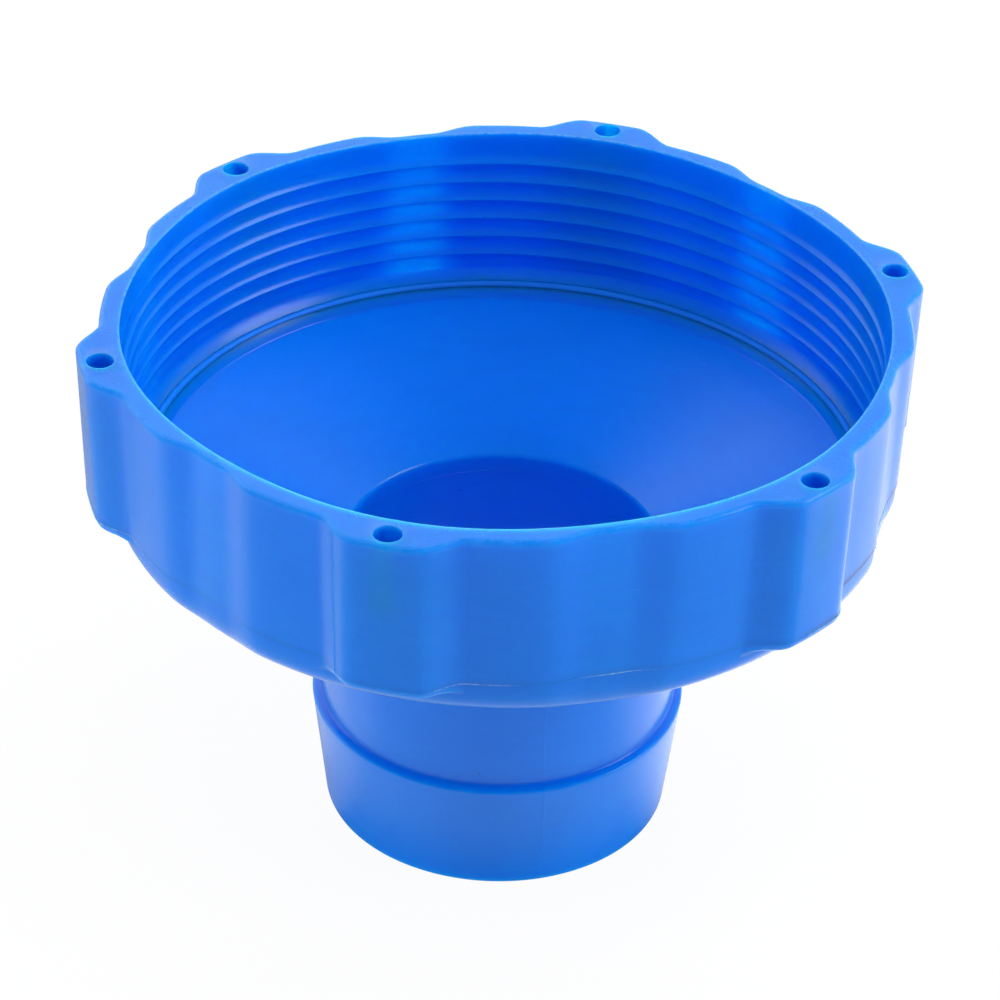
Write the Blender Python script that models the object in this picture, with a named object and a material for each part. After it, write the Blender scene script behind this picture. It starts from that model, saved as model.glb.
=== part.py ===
"""Adapter from a threaded neck to a hose.

A lobed collar with an internal right-hand thread narrows through a shallow cone
to a barbed hose spigot, all one plastic moulding. A round rubber ring lies in the
foot of the thread and seals against the neck's end. The adapter stands on the
spigot's end, at the origin, with the collar's mouth up. One lobe points along +X.
"""

from math import ceil, cos, pi, radians, sin, tan

import bmesh
import bpy

# Collar: mouth, wall and grip outline
MOUTH_RADIUS = 0.05435
VALLEY_WALL = 0.0012
SHOULDER_RISE = 0.0019
COLLAR_DRAFT = 0.0007
LOBE_COUNT = 6
COLLAR_INNER_DEPTH = 0.026
LOBE_FOOT_HEIGHT = 0.00136
COLLAR_FOOT_RADIUS = 0.0025
RIM_CHAMFER = 0.0005
MOUTH_CHAMFER = 0.0002

# Grip outline: angles from a lobe's middle, for the six lobes of one turn
LOBE_TOP_ANGLE = radians(4.0)
LOBE_FOOT_ANGLE = radians(10.4)
VALLEY_FLANK_ANGLE = radians(5.8)
VALLEY_HALF_ANGLE = radians(3.8)

# Blind hole in each lobe
HOLE_DIAMETER = 0.0036
HOLE_DEPTH = 0.012
HOLE_INNER_WALL = 0.00185
HOLE_OUTER_WALL = 0.0011

# Thread: one start, right-hand, standing in from the mouth's wall
THREAD_PITCH = 0.003175
THREAD_DEPTH = 0.0007
THREAD_CREST_WIDTH = 0.0005
THREAD_ROOT_GAP = 0.0005
THREAD_ENTRY = 0.0035
THREAD_RUNOUT = 0.002
THREAD_ROOT_IN_WALL = 0.0004

# Seat of the sealing ring, at the foot of the thread
SEAT_STEP = 0.00065
SEAT_OVER_SEAL = 0.00025
SEAT_LEAD = 0.0011

# Cone floor, bore and spigot
FLOOR_WALL = 0.0032
CONE_ANGLE = radians(22)
BORE_LIP_RADIUS = 0.003
SPIGOT_LENGTH = 0.0437
NECK_RADIUS = 0.0264
SPIGOT_WALL = 0.0037
NECK_FILLET = 0.0025
BARB_LENGTH = 0.0181
BARB_HEIGHT = 0.0014
BARB_TAPER = 0.0021
BARB_BACK_RISE = 0.0004
EDGE_CHAMFER = 0.0004

# Sealing ring
SEAL_SECTION = 0.0012
SEAL_GAP = 0.0003

# Fineness of the faceted surfaces
THREAD_STEPS_PER_TURN = 40
THREAD_FADE_STEPS = 5
FILLET_STEPS = 3
FOOT_STEPS = 4
FLANK_STEPS = 3
HOLE_SIDES = 12
SEAL_STEPS = 72
SEAL_SECTION_SIDES = 8
MERGE_DISTANCE = 0.000001
SHARP_EDGE_ANGLE = radians(35)

# Sizes that follow from the ones above
BORE_RADIUS = NECK_RADIUS - SPIGOT_WALL
CREST_RADIUS = MOUTH_RADIUS - THREAD_DEPTH
SEAT_RADIUS = CREST_RADIUS - SEAT_STEP
VALLEY_RADIUS = MOUTH_RADIUS + VALLEY_WALL
SHOULDER_RADIUS = VALLEY_RADIUS + SHOULDER_RISE
HOLE_CIRCLE_RADIUS = MOUTH_RADIUS + HOLE_INNER_WALL + HOLE_DIAMETER / 2
LOBE_RISE = HOLE_CIRCLE_RADIUS + HOLE_DIAMETER / 2 + HOLE_OUTER_WALL - SHOULDER_RADIUS
SECTOR_ANGLE = 2 * pi / LOBE_COUNT


def floor_height(radius):
    """Height of the cone floor's upper side at a radius."""
    return SPIGOT_LENGTH + (radius - BORE_RADIUS) * tan(CONE_ANGLE)


def underside_height(radius):
    """Height of the cone's underside, one wall below the floor."""
    return floor_height(radius) - FLOOR_WALL / cos(CONE_ANGLE)


FLOOR_EDGE_HEIGHT = floor_height(SEAT_RADIUS)
SEAL_RADIUS = SEAT_RADIUS - SEAL_GAP - SEAL_SECTION / 2
SEAL_HEIGHT = floor_height(SEAL_RADIUS) + (SEAL_GAP + SEAL_SECTION / 2) / cos(CONE_ANGLE)
SEAT_TOP_HEIGHT = SEAL_HEIGHT + SEAL_SECTION / 2 + SEAT_OVER_SEAL
RIM_HEIGHT = FLOOR_EDGE_HEIGHT + COLLAR_INNER_DEPTH
LOBE_FOOT = FLOOR_EDGE_HEIGHT + LOBE_FOOT_HEIGHT


def smooth_step(value, low, high):
    """Rise from 0 to 1 between low and high, level at both ends."""
    share = min(max((value - low) / (high - low), 0.0), 1.0)
    return share * share * (3 - 2 * share)


def core_radius(angle, draft):
    """Outline without lobes: broad shoulders, drawn in by a draft, and a valley between lobes."""
    away = abs((angle + SECTOR_ANGLE / 2) % SECTOR_ANGLE - SECTOR_ANGLE / 2)
    valley_edge = SECTOR_ANGLE / 2 - VALLEY_HALF_ANGLE
    dip = smooth_step(away, valley_edge - VALLEY_FLANK_ANGLE, valley_edge)
    return SHOULDER_RADIUS - draft - (SHOULDER_RISE - draft) * dip


def grip_radius(angle, draft):
    """Collar's outline with its lobes, each a flat-topped tooth with soft flanks."""
    away = abs((angle + SECTOR_ANGLE / 2) % SECTOR_ANGLE - SECTOR_ANGLE / 2)
    lobe = 1 - smooth_step(away, LOBE_TOP_ANGLE, LOBE_FOOT_ANGLE)
    return core_radius(angle, draft) + LOBE_RISE * lobe


def outline_angles():
    """Angles at which the outline is sampled: close together on the flanks."""
    valley_edge = SECTOR_ANGLE / 2 - VALLEY_HALF_ANGLE
    shoulder_end = valley_edge - VALLEY_FLANK_ANGLE
    lobe_flank = LOBE_FOOT_ANGLE - LOBE_TOP_ANGLE
    flank = [LOBE_TOP_ANGLE + lobe_flank * k / FLANK_STEPS for k in range(FLANK_STEPS + 1)]
    dip = [shoulder_end + VALLEY_FLANK_ANGLE * k / FLANK_STEPS for k in range(FLANK_STEPS + 1)]
    half = [0.0] + flank + [(LOBE_FOOT_ANGLE + shoulder_end) / 2] + dip
    sector = half + [SECTOR_ANGLE / 2] + [SECTOR_ANGLE - angle for angle in reversed(half[1:])]
    return [SECTOR_ANGLE * turn + angle for turn in range(LOBE_COUNT) for angle in sector]


def arc_points(centre, radius, start, end, steps):
    """Points of a section on an arc, given its centre and its two angles."""
    turns = [start + (end - start) * k / steps for k in range(steps + 1)]
    return [(centre[0] + radius * cos(turn), centre[1] + radius * sin(turn)) for turn in turns]


def foot_point(core, share):
    """Point of the collar's foot, on a curve that leaves along the underside and ends upright in a wall."""
    start = VALLEY_RADIUS - COLLAR_FOOT_RADIUS
    first = (1 - share) ** 2
    last = share ** 2
    between = 1 - first - last
    height = first * underside_height(start) + between * underside_height(core) + last * LOBE_FOOT
    return first * start + (1 - first) * core, height


def moulding_section(angle):
    """Closed section of the moulding at an angle: up its outside from the spigot's end, down its inside."""
    core = core_radius(angle, COLLAR_DRAFT)
    grip_foot = grip_radius(angle, COLLAR_DRAFT)
    grip = grip_radius(angle, 0.0)
    barb = NECK_RADIUS + BARB_HEIGHT
    tip = barb - BARB_TAPER
    spigot = [
        (tip - EDGE_CHAMFER, 0.0),
        (tip, EDGE_CHAMFER),
        (barb, BARB_LENGTH - EDGE_CHAMFER),
        (barb - EDGE_CHAMFER, BARB_LENGTH),
        (NECK_RADIUS, BARB_LENGTH + BARB_BACK_RISE),
    ]
    corner = radians(90) - CONE_ANGLE
    neck_tangent = NECK_FILLET * tan(corner / 2)
    neck_centre = (NECK_RADIUS + NECK_FILLET, underside_height(NECK_RADIUS) - neck_tangent)
    neck = arc_points(neck_centre, NECK_FILLET, pi, pi - corner, FILLET_STEPS)
    foot = [foot_point(core, k / FOOT_STEPS) for k in range(FOOT_STEPS + 1)]
    sleeve = [(grip_foot, LOBE_FOOT), (grip, RIM_HEIGHT - RIM_CHAMFER), (grip - RIM_CHAMFER, RIM_HEIGHT)]
    mouth = [
        (MOUTH_RADIUS + MOUTH_CHAMFER, RIM_HEIGHT),
        (MOUTH_RADIUS, RIM_HEIGHT - MOUTH_CHAMFER),
        (MOUTH_RADIUS, SEAT_TOP_HEIGHT + SEAT_LEAD),
        (SEAT_RADIUS, SEAT_TOP_HEIGHT),
        (SEAT_RADIUS, FLOOR_EDGE_HEIGHT),
    ]
    lip_tangent = BORE_LIP_RADIUS * tan(corner / 2)
    lip_centre = (BORE_RADIUS + BORE_LIP_RADIUS, SPIGOT_LENGTH - lip_tangent)
    lip = arc_points(lip_centre, BORE_LIP_RADIUS, pi - corner, pi, FILLET_STEPS)
    bore = [(BORE_RADIUS, EDGE_CHAMFER), (BORE_RADIUS + EDGE_CHAMFER, 0.0)]
    return spigot + neck + foot + sleeve + mouth + lip + bore


def mesh_object(name, verts, faces):
    """New object in the scene from points and faces."""
    mesh = bpy.data.meshes.new(name)
    mesh.from_pydata(verts, [], faces)
    thing = bpy.data.objects.new(name, mesh)
    bpy.context.collection.objects.link(thing)
    return thing


def grid_faces(rows, columns, around):
    """Quads of a grid of points whose columns close on themselves, and whose rows do too if around."""
    faces = []
    for row in range(rows if around else rows - 1):
        for column in range(columns):
            here = row * columns
            there = (row + 1) % rows * columns
            beside = (column + 1) % columns
            faces.append((here + column, here + beside, there + beside, there + column))
    return faces


def revolve(name, angles, section):
    """Body of a section that may change with the angle, carried once round the axis."""
    sections = [[(r * cos(a), r * sin(a), z) for r, z in section(a)] for a in angles]
    verts = [point for points in sections for point in points]
    thing = mesh_object(name, verts, grid_faces(len(sections), len(sections[0]), True))
    return face_outwards(thing)


def face_outwards(thing):
    """Join the points that coincide and turn all faces of a closed body outwards."""
    shape = bmesh.new()
    shape.from_mesh(thing.data)
    bmesh.ops.remove_doubles(shape, verts=shape.verts, dist=MERGE_DISTANCE)
    bmesh.ops.recalc_face_normals(shape, faces=shape.faces)
    shape.to_mesh(thing.data)
    shape.free()
    return thing


def thread_ridge():
    """Helical ridge of the thread, its root inside the wall and both its ends faded into the wall."""
    root = MOUTH_RADIUS + THREAD_ROOT_IN_WALL
    buried_crest = MOUTH_RADIUS + THREAD_ROOT_IN_WALL / 2
    low = SEAT_TOP_HEIGHT + SEAT_LEAD + THREAD_RUNOUT
    high = RIM_HEIGHT - THREAD_ENTRY
    steps = ceil((high - low) / THREAD_PITCH * THREAD_STEPS_PER_TURN)
    half_crest = THREAD_CREST_WIDTH / 2
    flank = (THREAD_PITCH - THREAD_ROOT_GAP - THREAD_CREST_WIDTH) / 2
    verts = []
    for step in range(steps + 1):
        angle = 2 * pi * step / THREAD_STEPS_PER_TURN
        grown = min(1.0, min(step, steps - step) / THREAD_FADE_STEPS)
        crest = buried_crest + (CREST_RADIUS - buried_crest) * grown
        half_root = half_crest + flank * (root - crest) / (root - CREST_RADIUS)
        height = low + (high - low) * step / steps
        section = [(root, -half_root), (crest, -half_crest), (crest, half_crest), (root, half_root)]
        verts += [(r * cos(angle), r * sin(angle), height + up) for r, up in section]
    faces = grid_faces(steps + 1, 4, False) + [(3, 2, 1, 0)]
    faces.append(tuple(4 * steps + k for k in range(4)))
    return face_outwards(mesh_object("thread_ridge", verts, faces))


def lobe_holes():
    """Cutter of the blind holes, one round pin over each lobe."""
    shape = bmesh.new()
    for lobe in range(LOBE_COUNT):
        angle = SECTOR_ANGLE * lobe
        pin = bmesh.ops.create_cone(
            shape, cap_ends=True, segments=HOLE_SIDES, radius1=HOLE_DIAMETER / 2,
            radius2=HOLE_DIAMETER / 2, depth=2 * HOLE_DEPTH,
        )
        middle = (HOLE_CIRCLE_RADIUS * cos(angle), HOLE_CIRCLE_RADIUS * sin(angle), RIM_HEIGHT)
        bmesh.ops.translate(shape, verts=pin["verts"], vec=middle)
    mesh = bpy.data.meshes.new("lobe_holes")
    shape.to_mesh(mesh)
    shape.free()
    cutter = bpy.data.objects.new("lobe_holes", mesh)
    bpy.context.collection.objects.link(cutter)
    return cutter


def join_shape(thing, other, operation):
    """Add or cut another body, which stays as a hidden guide."""
    step = thing.modifiers.new(other.name, "BOOLEAN")
    step.operation = operation
    step.solver = "EXACT"
    step.object = other
    other.hide_render = True
    other.display_type = "WIRE"


def plastic(name, colour, roughness):
    """Plain material of a plastic or rubber piece."""
    material = bpy.data.materials.new(name)
    material.use_nodes = True
    shader = material.node_tree.nodes["Principled BSDF"]
    shader.inputs["Base Color"].default_value = (*colour, 1.0)
    shader.inputs["Roughness"].default_value = roughness
    shader.inputs["Metallic"].default_value = 0.0
    return material


def finish(thing, material):
    """Give a piece its material and smooth shading with sharp edges kept."""
    thing.data.materials.append(material)
    thing.data.shade_smooth()
    thing.data.set_sharp_from_angle(angle=SHARP_EDGE_ANGLE)


def adapter_body():
    """The moulding: revolved section, thread added, holes cut."""
    body = revolve("adapter_body", outline_angles(), moulding_section)
    join_shape(body, thread_ridge(), "UNION")
    join_shape(body, lobe_holes(), "DIFFERENCE")
    finish(body, plastic("blue_plastic", (0.01, 0.13, 0.75), 0.3))
    return body


def sealing_ring():
    """Round rubber ring in the corner of seat wall and cone floor, its origin on the axis at its height."""
    turns = [2 * pi * k / SEAL_SECTION_SIDES for k in range(SEAL_SECTION_SIDES)]
    section = [(SEAL_RADIUS + SEAL_SECTION / 2 * cos(turn), SEAL_SECTION / 2 * sin(turn)) for turn in turns]
    angles = [2 * pi * k / SEAL_STEPS for k in range(SEAL_STEPS)]
    ring = revolve("sealing_ring", angles, lambda angle: section)
    ring.location.z = SEAL_HEIGHT
    finish(ring, plastic("blue_rubber", (0.004, 0.08, 0.55), 0.45))
    return ring


def clear_scene():
    """Remove whatever the scene holds."""
    for thing in list(bpy.data.objects):
        bpy.data.objects.remove(thing, do_unlink=True)


clear_scene()
adapter_body()
sealing_ring()
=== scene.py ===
"""Looks of the hose adapter: a blue moulding with a thread and its sealing ring, in a white studio."""

from math import cos, pi, radians, sin, tan

import bmesh
import bpy
import numpy as np
from mathutils import Matrix, Vector


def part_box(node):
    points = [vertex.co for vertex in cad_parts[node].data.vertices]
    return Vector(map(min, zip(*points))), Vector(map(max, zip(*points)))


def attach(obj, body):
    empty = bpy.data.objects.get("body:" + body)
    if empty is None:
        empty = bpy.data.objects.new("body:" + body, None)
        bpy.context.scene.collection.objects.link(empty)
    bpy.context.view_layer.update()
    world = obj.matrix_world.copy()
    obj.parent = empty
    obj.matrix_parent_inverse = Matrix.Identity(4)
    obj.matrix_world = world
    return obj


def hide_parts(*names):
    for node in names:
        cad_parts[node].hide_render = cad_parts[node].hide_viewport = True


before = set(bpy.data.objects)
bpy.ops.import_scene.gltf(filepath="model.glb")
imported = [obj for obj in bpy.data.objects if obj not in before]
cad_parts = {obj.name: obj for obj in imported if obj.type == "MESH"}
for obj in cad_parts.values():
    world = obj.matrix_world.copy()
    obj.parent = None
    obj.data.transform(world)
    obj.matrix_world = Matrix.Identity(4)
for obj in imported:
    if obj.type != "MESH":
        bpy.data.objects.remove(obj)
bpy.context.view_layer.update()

# Sizes that the frame gives, in metres
body_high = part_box("adapter_body")[1]
ring_low, ring_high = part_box("sealing_ring")
RIM = body_high.z
LOBE_RADIUS = body_high.x
SEAL_SECTION_RADIUS = (ring_high.z - ring_low.z) / 2
SEAL_RADIUS = ring_high.x - SEAL_SECTION_RADIUS
SEAL_HEIGHT = (ring_high.z + ring_low.z) / 2

# Collar
MOUTH_RADIUS = 0.05435
VALLEY_RADIUS = 0.05555
SHOULDER_RADIUS = 0.05745
LOBE_FOOT = 0.0573
COLLAR_DRAFT = 0.0007
COLLAR_FOOT_RADIUS = 0.0025
RIM_ROUNDING = 0.0008
LOBE_FOOT_ROUNDING = 0.0011
LOBE_FOOT_SHARE = 0.6
MOUTH_ROUNDING = 0.0003
MOUTH_ROW_DROPS = (0.0004, 0.001)
MOUTH_WOBBLE = 0.0003
MOUTH_WOBBLE_DEPTH = 0.012
TOP_FACE_SHARES = (0.04, 0.22, 0.41, 0.59, 0.78, 0.96)
WALL_ABOVE_PARTING = 0.0012
WALL_BELOW_ROUNDING = 0.0002

# Marks of the mould: flash on the mouth's edge, parting line and line of an insert
FLASH_HEIGHT = 0.00006
FLASH_UNEVEN = (0.55, 0.9)
PARTING_HEIGHT = 0.0587
PARTING_STEP = 0.00014
PARTING_RIDGE = 0.0001
PARTING_UNEVEN = (0.6, 0.8)
PARTING_HALF_WIDTH = 0.00009
HEAVY_FLASH_TURN = radians(271)
HEAVY_FLASH_HALF_ANGLE = radians(4)
INSERT_LINE_TURN = radians(233)
INSERT_LINE_HEIGHT = 0.00012
INSERT_LINE_HALF_ANGLE = radians(0.13)
INSERT_LINE_OFFSET = radians(7)
INSERT_LINE_MARGIN = radians(0.4)

# Pale flash and painted shade on those marks: strengths, widths in metres, and the side where the painted
# shade is heavy
MOUTH_PALE = 0.6
MOUTH_PALE_WIDTH = 0.0002
RIM_PALE = 0.15
RIM_PALE_DROP = 0.0003
RIM_PALE_WIDTH = 0.0004
PARTING_PALE = 2.6
PARTING_PALE_WIDTH = 0.00008
HOLE_PALE = 0.1
OUTSIDE_MARGIN = 0.001
GAP_SHADE_TURN = radians(332)
GAP_SHADE_RISE = 0.00013
GAP_SHADE_LEAST = 0.2
GAP_SHADE_SPREAD = (0.75, 0.95)

# Grip outline: angles from a lobe's middle
LOBE_COUNT = 6
SECTOR = 2 * pi / LOBE_COUNT
LOBE_TOP_ANGLE = radians(4.0)
LOBE_TOP_COLUMNS = 6
LOBE_FOOT_ANGLE = radians(10.4)
VALLEY_FLANK_ANGLE = radians(20.6)
VALLEY_EDGE_ANGLE = radians(27.4)
SEAM_STEPS = (radians(0.12), radians(0.3), radians(0.7))

# Blind hole in each lobe
HOLE_RADIUS = 0.00192
HOLE_DEPTH = 0.0118
HOLE_TIP = 0.0008
HOLE_ROW_DROPS = (0.001, 0.005)
HOLE_TAPER = (1.0, 0.98, 0.96, 0.0)
HOLE_CIRCLE_RADIUS = 0.058
HOLE_ROUNDING = 0.00012
HOLE_BURR = 0.00001

# Thread
THREAD_PITCH = 0.003175
THREAD_DEPTH = 0.0007
THREAD_FIRST_CREST = 0.0605
THREAD_LAST_CREST = 0.078
THREAD_FADE = 0.0005
THREAD_ZONE_LOW = 0.0585
THREAD_ZONE_HIGH = 0.0804
THREAD_TURNS = range(-2, 7)
THREAD_PHASES = (0.0, 0.018, 0.05, 0.11, 0.2, 0.33, 0.5, 0.67, 0.8, 0.89, 0.95, 0.982)
CREST_FLAT = 0.018
SCALLOP_POWER = 2.4
SCALLOP_END = 0.08

# Foot of the thread, cone floor, bore and spigot
SEAT_SLACK = 0.00001
SEAT_EDGES = (radians(70), radians(-190))
SEAT_EDGE_RADIUS = 0.00003
SEAT_LAND = 0.0015
SEAT_FILLET = 0.0005
THREAD_FOOT_DROP = 0.00005
FLOOR_WALL = 0.0032
CONE_ANGLE = radians(22)
BORE_RADIUS = 0.0227
BORE_LIP_RADIUS = 0.0009
BORE_WITNESS = 0.00013
BORE_WITNESS_DROP = 0.0022
BORE_WITNESS_EDGE = 0.00002
BORE_END_EDGE = 0.0001
SPIGOT_LENGTH = 0.0437
NECK_RADIUS = 0.0264
NECK_FILLET = 0.0025
BARB_LENGTH = 0.0181
BARB_BACK_RISE = 0.0004
BARB_CORNER = 0.0006
BARB_RADIUS = 0.0278
TIP_RADIUS = 0.0257
SPIGOT_EDGE = 0.0004
SEAM_HEIGHT = 0.00006
SEAM_HALF_ANGLE = radians(0.2)
HELD_STEP = 0.0012

# Mould line of the sealing ring
RING_LINE_HEIGHT = 0.00003
RING_LINE_HALF_ANGLE = 0.2

# Colours
DEEP_AZURE = (0.0004, 0.2, 0.77, 1)
AZURE = (0.001, 0.23, 0.84, 1)
SPECK_BLUE = (0.001, 0.03, 0.2, 1)
PALE_FLASH = (0.45, 0.6, 0.88, 1)
# Painted shade for the gap of the parting line's step
PAINTED_GAP_SHADE = (0.0, 0.03, 0.16, 1)
# Painted sheen for patches on the top face
PALE_TOP_SHEEN = (0.25, 0.42, 0.8, 1)
DEEP_RUBBER = (0.0008, 0.2, 0.8, 1)
RUBBER = (0.0015, 0.23, 0.86, 1)
WHITE = (1, 1, 1, 1)
FLOOR_WHITE = (0.95, 0.95, 0.95, 1)

# View, fitted to the photo: its distances are in metres, its lens and sensor in millimetres
VIEW_TURN = radians(15.365)
VIEW_ELEVATION = radians(33.462)
VIEW_ROLL = radians(1.525)
VIEW_DISTANCE = 0.53530
VIEW_SIDE = -0.00033
VIEW_DROP = 0.02619
LENS = 136.56
SENSOR = 36.0
CLIP_START = 0.05
CLIP_END = 20.0

# Studio: the soft light's level, then the ceiling, backdrop and window that the gloss shows, which go by
# the direction's height, depth, side and nearness. The floor glows by one share to the camera and by
# another to other rays. The gloss shows it as a table that goes by the distance from the axis and the side.
SOFT_LIGHT = 0.2
CEILING = (0.62, 0.95)
BACKDROP = (-0.1, 0.4)
BACKDROP_SIDES = (1.15, 0.55)
BACKDROP_TURN = (-0.5, 0.5)
DARK_ROOM = 0.035
WINDOW_SIDE = (0.78, -0.03, 0.62)
WINDOW_EDGE = (0.95, 0.985)
WINDOW_LEVEL = 3.6
FLOOR_HALF = 3.0
FLOOR_SHOWN = 0.95
TABLE_GLOW = 0.73
TABLE_DIM = 0.47
TABLE_NEAR = (0.04, 0.13)
TABLE_NEAR_GAIN = 0.28
TABLE_POOLS = {(0.8, 0.6, 0): (0.3, 0.85, 0.82), (-1.0, -0.08, 0): (0.9, 0.99, 0.28)}


def floor_height(radius):
    """Height of the cone floor: the spigot's length plus the radius beyond the bore times the slope."""
    return SPIGOT_LENGTH + (radius - BORE_RADIUS) * tan(CONE_ANGLE)


def underside_height(radius):
    """Height of the cone's underside: one wall, measured square to the floor, below it."""
    return floor_height(radius) - FLOOR_WALL / cos(CONE_ANGLE)


def smooth(value, low, high):
    """Rise from 0 at low to 1 at high along the cubic 3t^2 - 2t^3."""
    share = np.clip((value - low) / (high - low), 0.0, 1.0)
    return share * share * (3 - 2 * share)


def bell(distance, width):
    """Bell curve of a distance: 1 at 0, falling as exp(-(distance / width)^2)."""
    return np.exp(-(distance / width) ** 2)


def from_lobe(turn):
    """Angle from the nearest lobe's middle."""
    return np.abs((turn + SECTOR / 2) % SECTOR - SECTOR / 2)


def core_outline(turn, height):
    """Collar's radius without lobes: the shoulder's, less its draft and a smooth dip to the valley's."""
    dip = smooth(from_lobe(turn), VALLEY_FLANK_ANGLE, VALLEY_EDGE_ANGLE)
    shoulder = SHOULDER_RADIUS - COLLAR_DRAFT * np.clip((RIM - height) / (RIM - LOBE_FOOT), 0, 1)
    return shoulder - (shoulder - VALLEY_RADIUS) * dip


def grip_outline(turn, height):
    """Collar's radius with lobes: the core's plus a flat tooth with smooth flanks and the insert's line."""
    lobe = 1 - smooth(from_lobe(turn), LOBE_TOP_ANGLE, LOBE_FOOT_ANGLE)
    line = INSERT_LINE_HEIGHT * bell(turn - INSERT_LINE_TURN, INSERT_LINE_HALF_ANGLE)
    return core_outline(turn, height) + (LOBE_RADIUS - SHOULDER_RADIUS) * lobe + line


def ripple(turn, waves, seed):
    """Uneven line round the axis: a mean of cosines with whole wave counts and drawn phases."""
    phases = np.random.default_rng(seed).uniform(0, 2 * pi, len(waves))
    return np.mean([np.cos(count * turn + phase) for count, phase in zip(waves, phases)], axis=0)


def column_angles():
    """Angles of the columns over one turn, closer on flanks, at the insert's line and in valley middles."""
    line_start = INSERT_LINE_OFFSET - INSERT_LINE_MARGIN
    line_end = INSERT_LINE_OFFSET + INSERT_LINE_MARGIN
    half = np.concatenate([
        np.linspace(0, LOBE_TOP_ANGLE, LOBE_TOP_COLUMNS + 1)[:-1],
        np.linspace(LOBE_TOP_ANGLE, line_start, 5),
        INSERT_LINE_OFFSET + INSERT_LINE_HALF_ANGLE * np.linspace(-1.5, 1.5, 5),
        np.linspace(line_end, LOBE_FOOT_ANGLE, 5)[:-1],
        np.linspace(LOBE_FOOT_ANGLE, VALLEY_FLANK_ANGLE, 6)[:-1],
        np.linspace(VALLEY_FLANK_ANGLE, VALLEY_EDGE_ANGLE, 6)[:-1],
        np.linspace(VALLEY_EDGE_ANGLE, SECTOR / 2 - 2 * SEAM_STEPS[-1], 4),
        SECTOR / 2 - np.array(SEAM_STEPS[::-1]),
    ])
    sector = np.concatenate([[-SECTOR / 2], -half[:0:-1], half])
    turns = np.concatenate([sector + k * SECTOR for k in range(LOBE_COUNT)])
    return np.append(turns, turns[0] + 2 * pi)


def rounded_path(corners, steps):
    """Points along straight runs whose corners are arcs: each corner is (radius, height, rounding)."""
    points = [corners[0][:2]]
    for before, corner, after in zip(corners, corners[1:], corners[2:]):
        here = np.array(corner[:2])
        back = np.array(before[:2]) - here
        ahead = np.array(after[:2]) - here
        back /= np.linalg.norm(back)
        ahead /= np.linalg.norm(ahead)
        half_angle = np.arccos(np.clip(back @ ahead, -1, 1)) / 2
        middle = (back + ahead) / np.linalg.norm(back + ahead)
        centre = here + middle * corner[2] / sin(half_angle)
        first = here + back * corner[2] / tan(half_angle) - centre
        last = here + ahead * corner[2] / tan(half_angle) - centre
        sweep = pi - 2 * half_angle
        for share in np.linspace(0, 1, steps + 1):
            arm = (sin((1 - share) * sweep) * first + sin(share * sweep) * last) / sin(sweep)
            points.append(tuple(centre + arm))
    points.append(corners[-1][:2])
    return points


def held(points, step):
    """Points with one more just inside each end of every long straight run, so that it shades flat."""
    out = [points[0]]
    for start, end in zip(points, points[1:]):
        run = (end[0] - start[0], end[1] - start[1])
        length = np.hypot(*run)
        shares = [step / length, 1 - step / length, 1] if length > 3 * step else [1]
        for share in shares:
            out.append((start[0] + run[0] * share, start[1] + run[1] * share))
    return np.array(out)


def round_rows(points, turn):
    """Rows of a stretch that is the same all round: radius and height of each point at every column."""
    ones = np.ones_like(turn)
    return points[:, :1] * ones, points[:, 1:] * ones


def spigot_rows(turn):
    """Spigot's outside: rounded end, barb, ledge, neck and fillet, with a mould seam on two sides."""
    foot_start = VALLEY_RADIUS - COLLAR_FOOT_RADIUS
    corners = [
        (BORE_RADIUS + SPIGOT_EDGE, 0.0, 0.0),
        (TIP_RADIUS, 0.0, SPIGOT_EDGE),
        (BARB_RADIUS, BARB_LENGTH, SPIGOT_EDGE),
        (NECK_RADIUS, BARB_LENGTH + BARB_BACK_RISE, BARB_CORNER),
        (NECK_RADIUS, underside_height(NECK_RADIUS), NECK_FILLET),
        (foot_start, underside_height(foot_start), 0.0),
    ]
    radius, height = round_rows(held(rounded_path(corners, 3), HELD_STEP)[:-1], turn)
    beside = np.abs((turn + pi) % pi - pi / 2)
    seam = SEAM_HEIGHT * bell(beside, SEAM_HALF_ANGLE) * smooth(height, 0.0, SPIGOT_EDGE)
    return radius + seam, height


def foot_rows(turn):
    """Collar's foot: a quadratic curve that leaves along the underside and ends upright in the outline."""
    share = np.linspace(0, 1, 10)[:, None]
    start = VALLEY_RADIUS - COLLAR_FOOT_RADIUS
    core = core_outline(turn, LOBE_FOOT) - PARTING_STEP
    first = (1 - share) ** 2
    last = share ** 2
    corner = underside_height(core)
    height = first * underside_height(start) + (1 - first - last) * corner + last * LOBE_FOOT
    return first * start + (1 - first) * core, height


def lobe_foot_rows(turn):
    """Lobe's underside: flat from the core outwards, then a rounding no larger than the lobe stands out."""
    core = core_outline(turn, LOBE_FOOT) - PARTING_STEP
    rise = grip_outline(turn, LOBE_FOOT) - PARTING_STEP - core
    rounding = np.minimum(LOBE_FOOT_ROUNDING, LOBE_FOOT_SHARE * rise)
    reach = np.linspace(0, 1, 4)[1:, None]
    flat = core + (rise - rounding) * reach
    sweep = np.linspace(0, pi / 2, 6)[1:, None]
    curve = core + rise - rounding * (1 - np.sin(sweep))
    height = LOBE_FOOT + rounding * (1 - np.cos(sweep))
    return np.vstack([flat, curve]), np.vstack([LOBE_FOOT + 0 * flat, height])


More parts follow.
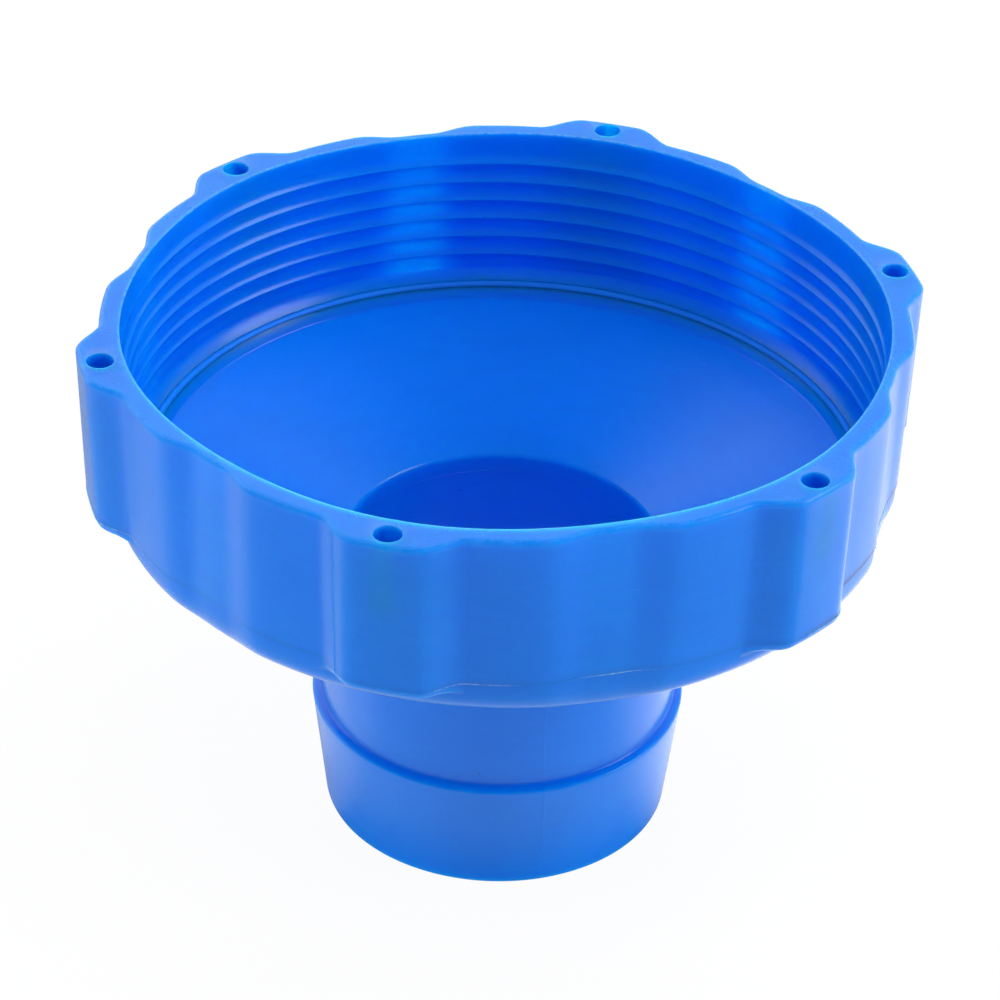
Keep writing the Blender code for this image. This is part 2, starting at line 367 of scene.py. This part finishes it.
def sleeve_rows(turn):
    """Outside wall: the lower mould half, a ridge of flash on the parting line, then the upper half."""
    least, gain = PARTING_UNEVEN
    ridge = PARTING_RIDGE * (least + gain * ripple(turn, (3, 11, 17, 29, 41), 5))
    width = PARTING_HALF_WIDTH * np.array([-2, -1, 0, 1, 2])
    wall_end = RIM - RIM_ROUNDING - WALL_BELOW_ROUNDING
    wall = np.linspace(PARTING_HEIGHT + WALL_ABOVE_PARTING, wall_end, 7)
    height = np.append(PARTING_HEIGHT + width, wall)[:, None] + 0 * turn
    radius = grip_outline(turn, height)
    radius[:2] -= PARTING_STEP
    radius[2] += ridge
    return radius, height


def mouth_radius(turn, height):
    """Mouth's wall: round, with a slight sink towards the thick lobes that fades below the rim."""
    near_rim = smooth(height, RIM - MOUTH_WOBBLE_DEPTH, RIM)
    return MOUTH_RADIUS + MOUTH_WOBBLE * np.cos(LOBE_COUNT * turn) * near_rim


def rim_rows(turn):
    """Rim: a quarter round at the outside, then the flat top face inwards."""
    grip = grip_outline(turn, RIM)
    sweep = np.linspace(0, pi / 2, 7)[:, None]
    curve = grip - RIM_ROUNDING * (1 - np.cos(sweep))
    height = RIM - RIM_ROUNDING * (1 - np.sin(sweep)) + 0 * curve
    outer = grip - RIM_ROUNDING
    inner = mouth_radius(turn, RIM) + MOUTH_ROUNDING
    flat = outer + (inner - outer) * np.array(TOP_FACE_SHARES)[:, None]
    return np.vstack([curve, flat]), np.vstack([height, RIM + 0 * flat])


def mouth_rows(turn):
    """Mouth's edge: a thin uneven flash on the inner edge, a small rounding and the plain wall below."""
    least, gain = FLASH_UNEVEN
    flash = FLASH_HEIGHT * (least + gain * ripple(turn, (5, 13, 23, 37, 53, 71), 2))
    flash = np.maximum(flash, 0)
    heights = [RIM, RIM + flash, RIM + 0.6 * flash, RIM - MOUTH_ROUNDING]
    heights += [RIM - drop for drop in MOUTH_ROW_DROPS]
    inset = [1.0, 0.35, 0.0, 0.0, 0.0, 0.0]
    height = np.array([value + 0 * turn for value in heights])
    radius = mouth_radius(turn, height) + MOUTH_ROUNDING * np.array(inset)[:, None]
    return radius, height


def thread_rows(turn):
    """Thread: rows climb with the helix, and crests fall to the groove as a power of the distance left."""
    laps = np.array([lap + phase for lap in THREAD_TURNS for phase in THREAD_PHASES])[::-1, None]
    height = THREAD_FIRST_CREST + THREAD_PITCH * (laps + turn / (2 * pi))
    crest = THREAD_FIRST_CREST + THREAD_PITCH * (np.round(laps) + turn / (2 * pi))
    height = np.clip(height, THREAD_ZONE_LOW, THREAD_ZONE_HIGH)
    away = np.abs(height - crest) / THREAD_PITCH
    scallop = (1 - 2 * np.clip(away - CREST_FLAT, 0, 0.5)) ** SCALLOP_POWER
    scallop = np.where(away < 0.5, scallop, 0.0) * smooth(0.5 - away, 0.0, SCALLOP_END)
    grown = smooth(crest, THREAD_FIRST_CREST - THREAD_FADE, THREAD_FIRST_CREST)
    grown = grown * (1 - smooth(crest, THREAD_LAST_CREST - THREAD_FADE, THREAD_LAST_CREST))
    return mouth_radius(turn, height) - THREAD_DEPTH * grown * scallop, height


def inside_rows(turn):
    """Foot of the thread, round groove of the ring, cone floor, rounded lip, core pin's line, and bore."""
    lip_turn = BORE_LIP_RADIUS * tan((pi / 2 - CONE_ANGLE) / 2)
    witness = SPIGOT_LENGTH - lip_turn - BORE_WITNESS_DROP
    pin_radius = BORE_RADIUS + BORE_WITNESS
    around = np.linspace(*SEAT_EDGES, 13)
    seat = SEAL_SECTION_RADIUS + SEAT_SLACK
    groove = list(zip(SEAL_RADIUS + seat * np.cos(around), SEAL_HEIGHT + seat * np.sin(around)))
    thread_foot = (MOUTH_RADIUS, THREAD_ZONE_LOW - THREAD_FOOT_DROP)
    over_ring = [thread_foot, (*groove[0], SEAT_EDGE_RADIUS), groove[1]]
    land = SEAL_RADIUS - SEAT_LAND
    corners = [
        groove[-2],
        (*groove[-1], SEAT_EDGE_RADIUS),
        (land, floor_height(land), SEAT_FILLET),
        (BORE_RADIUS, SPIGOT_LENGTH, BORE_LIP_RADIUS),
        (BORE_RADIUS, witness, BORE_WITNESS_EDGE),
        (pin_radius, witness - BORE_WITNESS, BORE_WITNESS_EDGE),
        (pin_radius, SPIGOT_EDGE, BORE_END_EDGE),
        (BORE_RADIUS + SPIGOT_EDGE, 0.0, 0.0),
    ]
    path = rounded_path(over_ring, 4)[:-1] + groove[1:-2] + rounded_path(corners, 5)
    return round_rows(held(path, HELD_STEP)[:-1], turn)


def moulding_rows(turn):
    """All rows of the moulding's section in order, and where the top face's first and last rows are."""
    parts = [spigot_rows(turn), foot_rows(turn), lobe_foot_rows(turn), sleeve_rows(turn)]
    below = sum(len(radius) for radius, height in parts)
    rim = rim_rows(turn)
    parts += [rim, mouth_rows(turn), thread_rows(turn), inside_rows(turn)]
    radius = np.vstack([part[0] for part in parts])
    height = np.vstack([part[1] for part in parts])
    top_last = below + len(rim[0]) - 1
    return radius, height, top_last - len(TOP_FACE_SHARES), top_last


def hole_surface(rim_points, centre):
    """Blind hole in a lobe: rings from the points round it to a burred edge, down the wall, to its tip."""
    out = rim_points[:, :2] - centre
    direction = out / np.linalg.norm(out, axis=1)[:, None]
    sweep = np.linspace(0, pi / 2, 5)
    ring_radius = [HOLE_RADIUS + 1.15 * HOLE_ROUNDING]
    ring_radius += list(HOLE_RADIUS + HOLE_ROUNDING * (1 - np.sin(sweep)))
    ring_radius += [HOLE_RADIUS * taper for taper in HOLE_TAPER]
    ring_height = [RIM + 0.3 * HOLE_BURR]
    ring_height += list(RIM + HOLE_BURR - HOLE_ROUNDING * (1 - np.cos(sweep)))
    ring_height += [RIM - drop for drop in HOLE_ROW_DROPS]
    ring_height += [RIM - HOLE_DEPTH + HOLE_TIP, RIM - HOLE_DEPTH]
    flat = centre + np.array(ring_radius)[:, None, None] * direction
    height = np.array(ring_height)[:, None, None] + 0 * flat[:, :, :1]
    return np.concatenate([flat, height], axis=2)


def strip_faces(first, second):
    """Quads between two closed loops of point numbers."""
    return np.stack([first, np.roll(first, -1), np.roll(second, -1), second], axis=1)


def closed_mesh(name, points, faces, marks):
    """Object of points and quads: doubled points merged, faces turned outwards, shading made smooth."""
    mesh = bpy.data.meshes.new(name)
    mesh.from_pydata(points, [], faces)
    for mark, values in marks.items():
        layer = mesh.attributes.new(mark, "FLOAT", "POINT")
        layer.data.foreach_set("value", values.astype(np.float32))
    shape = bmesh.new()
    shape.from_mesh(mesh)
    bmesh.ops.remove_doubles(shape, verts=shape.verts, dist=1e-6)
    bmesh.ops.recalc_face_normals(shape, faces=shape.faces)
    shape.to_mesh(mesh)
    shape.free()
    mesh.shade_smooth()
    thing = bpy.data.objects.new(name, mesh)
    bpy.context.scene.collection.objects.link(thing)
    return thing


def grid_numbers(rows, columns):
    """Quads of a grid of points, its last row joined to its first, and the points' numbers."""
    number = np.arange(rows * columns).reshape(rows, columns)
    above = np.roll(number, -1, axis=0)
    return np.stack([number[:, :-1], number[:, 1:], above[:, 1:], above[:, :-1]], axis=2), number


def flash_marks(turn, radius, height):
    """How pale each point is: bells across the mouth's edge, the worn rim and parts of the parting line."""
    outside = radius > VALLEY_RADIUS - OUTSIDE_MARGIN
    worn = radius > grip_outline(turn, RIM) - RIM_ROUNDING
    patches = smooth(ripple(turn, (2, 5, 9, 13), 11), 0.1, 0.4)
    patches = np.maximum(patches, bell(turn - HEAVY_FLASH_TURN, HEAVY_FLASH_HALF_ANGLE))
    flash = MOUTH_PALE * bell(height - RIM, MOUTH_PALE_WIDTH)
    flash = flash * bell(radius - mouth_radius(turn, RIM), MOUTH_PALE_WIDTH)
    flash += RIM_PALE * bell(height - RIM + RIM_PALE_DROP, RIM_PALE_WIDTH) * worn
    flash += PARTING_PALE * patches * bell(height - PARTING_HEIGHT, PARTING_PALE_WIDTH) * outside
    return flash


def gap_shade_marks(turn, radius, height):
    """How much painted shade each point has: a dark bell just above the parting line, standing in for the
    shadow in the step's gap, heavier on one side.
    """
    outside = radius > VALLEY_RADIUS - OUTSIDE_MARGIN
    line = bell(height - PARTING_HEIGHT - GAP_SHADE_RISE, PARTING_HALF_WIDTH) * outside
    heavy = smooth(np.cos(turn - GAP_SHADE_TURN), *GAP_SHADE_SPREAD)
    return line * (GAP_SHADE_LEAST + (1 - GAP_SHADE_LEAST) * heavy)


def adapter_moulding():
    """The moulding: its section carried round the axis, with blind holes let into the lobes."""
    turn = column_angles()
    radius, height, top_first, top_last = moulding_rows(turn)
    rows, columns = radius.shape
    points = np.stack([radius * np.cos(turn), radius * np.sin(turn), height], axis=2).reshape(-1, 3)
    quads, number = grid_numbers(rows, columns)
    kept = np.ones((rows, columns - 1), bool)
    all_points = [points]
    all_flash = [flash_marks(turn, radius, height).reshape(-1)]
    all_gap_shade = [gap_shade_marks(turn, radius, height).reshape(-1)]
    faces = []
    total = rows * columns
    per_sector = (columns - 1) // LOBE_COUNT
    for lobe in range(LOBE_COUNT):
        middle = lobe * per_sector + per_sector // 2
        left = middle - LOBE_TOP_COLUMNS
        right = middle + LOBE_TOP_COLUMNS
        kept[top_first:top_last, left:right] = False
        loop = np.concatenate([
            number[top_first, left:right], number[top_first:top_last, right],
            number[top_last, right:left:-1], number[top_last:top_first:-1, left],
        ])
        angle = lobe * SECTOR
        centre = HOLE_CIRCLE_RADIUS * np.array([cos(angle), sin(angle)])
        rings = hole_surface(points[loop], centre)
        count = rings.shape[0] * rings.shape[1]
        loops = np.vstack([loop[None, :], total + np.arange(count).reshape(rings.shape[:2])])
        total += count
        faces += [strip_faces(first, second) for first, second in zip(loops, loops[1:])]
        all_points.append(rings.reshape(-1, 3))
        all_flash.append(HOLE_PALE * bell(rings[:, :, 2] - RIM, MOUTH_PALE_WIDTH).reshape(-1))
        all_gap_shade.append(np.zeros(count))
    faces.append(quads[kept])
    marks = {"flash": np.concatenate(all_flash), "gap_shade": np.concatenate(all_gap_shade)}
    return closed_mesh("adapter_moulding", np.concatenate(all_points), np.concatenate(faces), marks)


def rubber_ring():
    """Sealing ring: a torus of round section with a fine mould line round its outside and inside."""
    turn = np.linspace(0, 2 * pi, 241)[:, None]
    around = np.linspace(0, 2 * pi, 25)[None, :-1]
    line = bell(np.abs(around - pi) - pi, RING_LINE_HALF_ANGLE) + bell(around - pi, RING_LINE_HALF_ANGLE)
    section = SEAL_SECTION_RADIUS - RING_LINE_HEIGHT + RING_LINE_HEIGHT * line
    radius = SEAL_RADIUS + section * np.cos(around) + 0 * turn
    height = SEAL_HEIGHT + section * np.sin(around) + 0 * turn
    points = np.stack([radius * np.cos(turn), radius * np.sin(turn), height], axis=2).transpose(1, 0, 2)
    quads = grid_numbers(*points.shape[:2])[0]
    return closed_mesh("rubber_ring", points.reshape(-1, 3), quads.reshape(-1, 4), {})


class Socket:
    """An output in a node tree. Operators on it add Math nodes, and node() adds any other node."""

    def __init__(self, tree, output):
        self.tree = tree
        self.output = output

    def node(self, kind, settings, inputs, output=0):
        """Add a node: its settings first, then values or links into its sockets."""
        made = self.tree.nodes.new(kind)
        for name, value in settings.items():
            setattr(made, name, value)
        for name, value in inputs.items():
            if isinstance(value, Socket):
                self.tree.links.new(value.output, made.inputs[name])
            else:
                made.inputs[name].default_value = value
        return Socket(self.tree, made.outputs[output])

    def math(self, operation, first, second):
        """A Math node of two values."""
        return self.node("ShaderNodeMath", {"operation": operation}, {0: first, 1: second})

    def __add__(self, other):
        return self.math("ADD", self, other)

    def __mul__(self, other):
        return self.math("MULTIPLY", self, other)

    def __truediv__(self, other):
        return self.math("DIVIDE", self, other)

    def __radd__(self, other):
        return self.math("ADD", other, self)

    def __rsub__(self, other):
        return self.math("SUBTRACT", other, self)

    def __rmul__(self, other):
        return self.math("MULTIPLY", other, self)

    def between(self, low, high):
        """0 below low, 1 above high, smooth in between."""
        limits = {"Value": self, "From Min": low, "From Max": high}
        return self.node("ShaderNodeMapRange", {"interpolation_type": "SMOOTHSTEP"}, limits)

    def mix(self, first, second):
        """Colour that goes from first to second with this value."""
        colours = {0: self, 6: first, 7: second}
        return self.node("ShaderNodeMix", {"data_type": "RGBA"}, colours, 2)

    def noise(self, scale, detail, roughness=0.5):
        """Noise over these coordinates."""
        inputs = {"Vector": self, "Scale": scale, "Detail": detail, "Roughness": roughness}
        return self.node("ShaderNodeTexNoise", {}, inputs)

    def stretched(self, scale):
        """These coordinates scaled along each axis."""
        return self.node("ShaderNodeMapping", {}, {"Vector": self, "Scale": scale})

    def along(self, direction):
        """Length of these coordinates along a direction."""
        return self.node("ShaderNodeVectorMath", {"operation": "DOT_PRODUCT"}, {0: self, 1: direction}, 1)

    def height(self):
        """The third of these coordinates."""
        return self.node("ShaderNodeSeparateXYZ", {}, {0: self}, 2)

    def mark(self, name):
        """Value that the mesh keeps at each point under a name."""
        return self.node("ShaderNodeAttribute", {"attribute_name": name}, {}, 2)


def new_material(name, constants):
    """Material with its shader's constant sockets set; gives it, its shader and its Object coordinates."""
    material = bpy.data.materials.new(name)
    material.use_nodes = True
    tree = material.node_tree
    shader = tree.nodes["Principled BSDF"]
    for socket, value in constants.items():
        shader.inputs[socket].default_value = value
    coordinates = tree.nodes.new("ShaderNodeTexCoord")
    return material, shader, Socket(tree, coordinates.outputs["Object"])


def wire(shader, socket, value):
    """Link a value into one of the shader's sockets."""
    value.tree.links.new(value.output, shader.inputs[socket])


def moulded_plastic():
    """Azure semi-gloss plastic that lets light through: mottled, with scuffs, specks and flash, painted
    shade along the parting line and painted sheen in patches on the top face.
    """
    material, shader, place = new_material("moulded_plastic", {
        "Subsurface Weight": 0.9,
        "Subsurface Radius": (0.05, 1.6, 1.4),
        "Subsurface Scale": 0.003,
        "IOR": 1.48,
        "Specular IOR Level": 0.5,
    })
    cloud = place.noise(38.0, 3.0)
    streaks = place.stretched((1.0, 1.0, 9.0)).noise(160.0, 4.0, 0.6)
    grain = place.noise(2600.0, 2.0)
    tone = 0.55 * cloud + 0.3 * streaks + 0.15 * grain
    colour = tone.between(0.3, 0.7).mix(DEEP_AZURE, AZURE)
    speck = place.node("ShaderNodeTexVoronoi", {}, {"Vector": place, "Scale": 230.0})
    rare = place.noise(150.0, 0.0).between(0.7, 0.74)
    dot = (1 - speck.between(0.02, 0.06)) * rare
    colour = (0.5 * dot).mix(colour, SPECK_BLUE)
    ragged = place.noise(900.0, 3.0, 0.7).between(0.38, 0.62)
    pale = place.mark("flash") * (0.25 + 0.75 * ragged)
    colour = (0.35 * pale).mix(colour, PALE_FLASH)
    # Painted shade: a dark line in the parting line's gap, where the step would cast shadow
    shaded_gap = place.mark("gap_shade") * place.noise(60.0, 2.0).between(0.2, 0.45)
    colour = shaded_gap.mix(colour, PAINTED_GAP_SHADE)
    # Painted sheen: pale patches on the flat top face only, which also get a rougher finish
    top_face = place.height().between(RIM - 0.0003, RIM - 0.0001)
    mottle_and_sheen = top_face * place.noise(70.0, 2.0).between(0.25, 0.75)
    colour = (0.06 * mottle_and_sheen).mix(colour, PALE_TOP_SHEEN)
    scratch = place.stretched((0.35, 0.35, 3.2)).noise(420.0, 5.0, 0.75).between(0.68, 0.76)
    wire(shader, "Base Color", colour)
    gloss = 0.16 + 0.08 * cloud + 0.04 * grain + 0.14 * scratch
    wire(shader, "Roughness", gloss + 0.2 * pale + 0.1 * mottle_and_sheen)
    relief = 0.6 * place.noise(700.0, 2.0) + 0.25 * grain + 0.2 * scratch
    bump = place.node("ShaderNodeBump", {}, {"Strength": 0.05, "Distance": 0.0002, "Height": relief})
    wire(shader, "Normal", bump)
    return material


def sealing_rubber():
    """Blue rubber: soft sheen, a little bloom and fine grain."""
    material, shader, place = new_material("sealing_rubber", {
        "Subsurface Weight": 0.3,
        "Subsurface Radius": (0.05, 1.0, 1.0),
        "Subsurface Scale": 0.001,
        "IOR": 1.48,
        "Specular IOR Level": 0.45,
    })
    mottle_and_sheen = place.noise(55.0, 4.0, 0.6)
    grain = place.noise(3200.0, 2.0)
    wire(shader, "Base Color", mottle_and_sheen.between(0.35, 0.75).mix(DEEP_RUBBER, RUBBER))
    wire(shader, "Roughness", 0.36 + 0.18 * mottle_and_sheen)
    bump = place.node("ShaderNodeBump", {}, {"Strength": 0.08, "Distance": 0.0001, "Height": grain})
    wire(shader, "Normal", bump)
    return material


def mixed_surface(tree, output, factor, first, second):
    """Link two shaders through a mix into the tree's output."""
    mix = tree.nodes.new("ShaderNodeMixShader")
    tree.links.new(factor.output, mix.inputs[0])
    tree.links.new(first.outputs[0], mix.inputs[1])
    tree.links.new(second.outputs[0], mix.inputs[2])
    tree.links.new(mix.outputs[0], tree.nodes.new(output).inputs["Surface"])


def view_to_part(point):
    """Point given to the right, away and up in the view, turned into the part's frame."""
    return Matrix.Rotation(-VIEW_TURN, 4, "Z") @ Vector(point)


def rays(tree):
    """Whether a ray comes from the camera, and whether from a glossy surface."""
    path = tree.nodes.new("ShaderNodeLightPath")
    return Socket(tree, path.outputs["Is Camera Ray"]), Socket(tree, path.outputs["Is Glossy Ray"])


def studio_floor():
    """Pale plain floor that keeps the object's shadow; in the gloss a dim table with painted light and
    shade: brighter near the axis, two pools of light, and painted shade under the bore.
    """
    mesh = bpy.data.meshes.new("studio_floor")
    corners = [(-1, -1), (1, -1), (1, 1), (-1, 1)]
    mesh.from_pydata([(FLOOR_HALF * x, FLOOR_HALF * y, 0) for x, y in corners], [], [(0, 1, 2, 3)])
    floor = bpy.data.objects.new("studio_floor", mesh)
    bpy.context.scene.collection.objects.link(floor)
    material = bpy.data.materials.new("white_floor")
    material.use_nodes = True
    tree = material.node_tree
    tree.nodes.clear()
    diffuse = tree.nodes.new("ShaderNodeBsdfDiffuse")
    diffuse.inputs["Color"].default_value = FLOOR_WHITE
    glow = tree.nodes.new("ShaderNodeEmission")
    glow.inputs["Color"].default_value = WHITE
    place = Socket(tree, tree.nodes.new("ShaderNodeTexCoord").outputs["Object"])
    eye, mirror = rays(tree)
    apart = place.node("ShaderNodeVectorMath", {"operation": "LENGTH"}, {0: place}, 1)
    # Painted light: in the gloss the table is brighter near the axis
    shown = TABLE_DIM + TABLE_NEAR_GAIN * (1 - apart.between(*TABLE_NEAR))
    # Painted shade: in the gloss the table under the bore is dark
    shown = shown * apart.between(BORE_RADIUS, TABLE_NEAR[0])
    for side, (low, high, gain) in TABLE_POOLS.items():
        reach = place.along(view_to_part(side))
        shown = shown + gain * (reach / apart).between(low, high)
    share = FLOOR_SHOWN * eye + (1 - eye) * (TABLE_GLOW + (1 - TABLE_GLOW) * mirror)
    tree.links.new((1 - mirror + mirror * shown).output, glow.inputs["Strength"])
    mixed_surface(tree, "ShaderNodeOutputMaterial", share, diffuse, glow)
    mesh.materials.append(material)


def studio_world():
    """White to the camera, soft light on the object; in the gloss a backdrop and window in a dark room."""
    world = bpy.data.worlds.new("white_studio")
    world.use_nodes = True
    tree = world.node_tree
    tree.nodes.clear()
    place = Socket(tree, tree.nodes.new("ShaderNodeTexCoord").outputs["Generated"])
    depth = place.along(view_to_part((0, 1, 0)))
    side = place.along(view_to_part((1, 0, 0)))
    eye, mirror = rays(tree)
    left_level, right_level = BACKDROP_SIDES
    level = left_level - (left_level - right_level) * side.between(*BACKDROP_TURN)
    backdrop = depth.between(*BACKDROP) * (1 - place.height().between(*CEILING)) * level
    window = WINDOW_LEVEL * place.along(view_to_part(WINDOW_SIDE)).between(*WINDOW_EDGE)
    seen = 1 - mirror * (1 - DARK_ROOM) * (1 - backdrop) + mirror * window
    soft = tree.nodes.new("ShaderNodeBackground")
    soft.inputs["Color"].default_value = WHITE
    soft.inputs["Strength"].default_value = SOFT_LIGHT
    white = tree.nodes.new("ShaderNodeBackground")
    white.inputs["Color"].default_value = WHITE
    tree.links.new(seen.output, white.inputs["Strength"])
    mixed_surface(tree, "ShaderNodeOutputWorld", eye + mirror, soft, white)
    bpy.context.scene.world = world


def softbox(name, place, target_height, size, power):
    """Area lamp at a place in the view's frame, facing a point on the axis, and left out of the gloss."""
    lamp = bpy.data.lights.new(name, "AREA")
    lamp.shape = "RECTANGLE"
    lamp.size, lamp.size_y = size
    lamp.energy = power
    box = bpy.data.objects.new(name, lamp)
    box.location = view_to_part(place)
    away = Vector((0, 0, target_height)) - box.location
    box.rotation_euler = away.to_track_quat("-Z", "Y").to_euler()
    box.visible_glossy = False
    bpy.context.scene.collection.objects.link(box)


def studio_camera():
    """Camera of the photo's view: distance and drop along its axes, then a small roll."""
    right = Vector((1, 0, 0))
    up = Vector((0, sin(VIEW_ELEVATION), cos(VIEW_ELEVATION)))
    forward = Vector((0, cos(VIEW_ELEVATION), -sin(VIEW_ELEVATION)))
    place = VIEW_SIDE * right - VIEW_DROP * up - VIEW_DISTANCE * forward + Vector((0, 0, RIM))
    side = cos(VIEW_ROLL) * right + sin(VIEW_ROLL) * up
    top = cos(VIEW_ROLL) * up - sin(VIEW_ROLL) * right
    turned = Matrix((side, top, -forward)).transposed().to_4x4()
    camera = bpy.data.cameras.new("studio_camera")
    camera.lens = LENS
    camera.sensor_width = SENSOR
    camera.clip_start = CLIP_START
    camera.clip_end = CLIP_END
    thing = bpy.data.objects.new("studio_camera", camera)
    thing.matrix_world = Matrix.Rotation(-VIEW_TURN, 4, "Z") @ Matrix.Translation(place) @ turned
    bpy.context.scene.collection.objects.link(thing)
    bpy.context.scene.camera = thing


def dress():
    """Replace both nodes by their fine pieces, each riding on its body with its finish."""
    moulding = adapter_moulding()
    moulding.data.materials.append(moulded_plastic())
    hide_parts("adapter_body")
    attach(moulding, "adapter")
    ring = rubber_ring()
    ring.data.materials.append(sealing_rubber())
    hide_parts("sealing_ring")
    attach(ring, "seal")


dress()
studio_floor()
studio_world()
softbox("key_softbox", (0.0, 0.75, 0.95), 0.05, (1.0, 0.8), 3.0)
softbox("top_softbox", (0.3, 0.1, 1.15), 0.05, (0.8, 0.8), 5.2)
softbox("back_softbox", (0.0, 0.9, 0.12), 0.07, (0.9, 0.3), 9.0)
softbox("right_softbox", (0.8, -0.1, 0.35), 0.04, (0.5, 0.5), 4.4)
softbox("left_softbox", (-0.8, -0.1, 0.3), 0.04, (0.5, 0.5), 3.1)
softbox("front_softbox", (0.0, -0.5, 1.0), 0.05, (0.5, 0.5), 2.0)
studio_camera()
bpy.context.scene.view_settings.view_transform = "Standard"
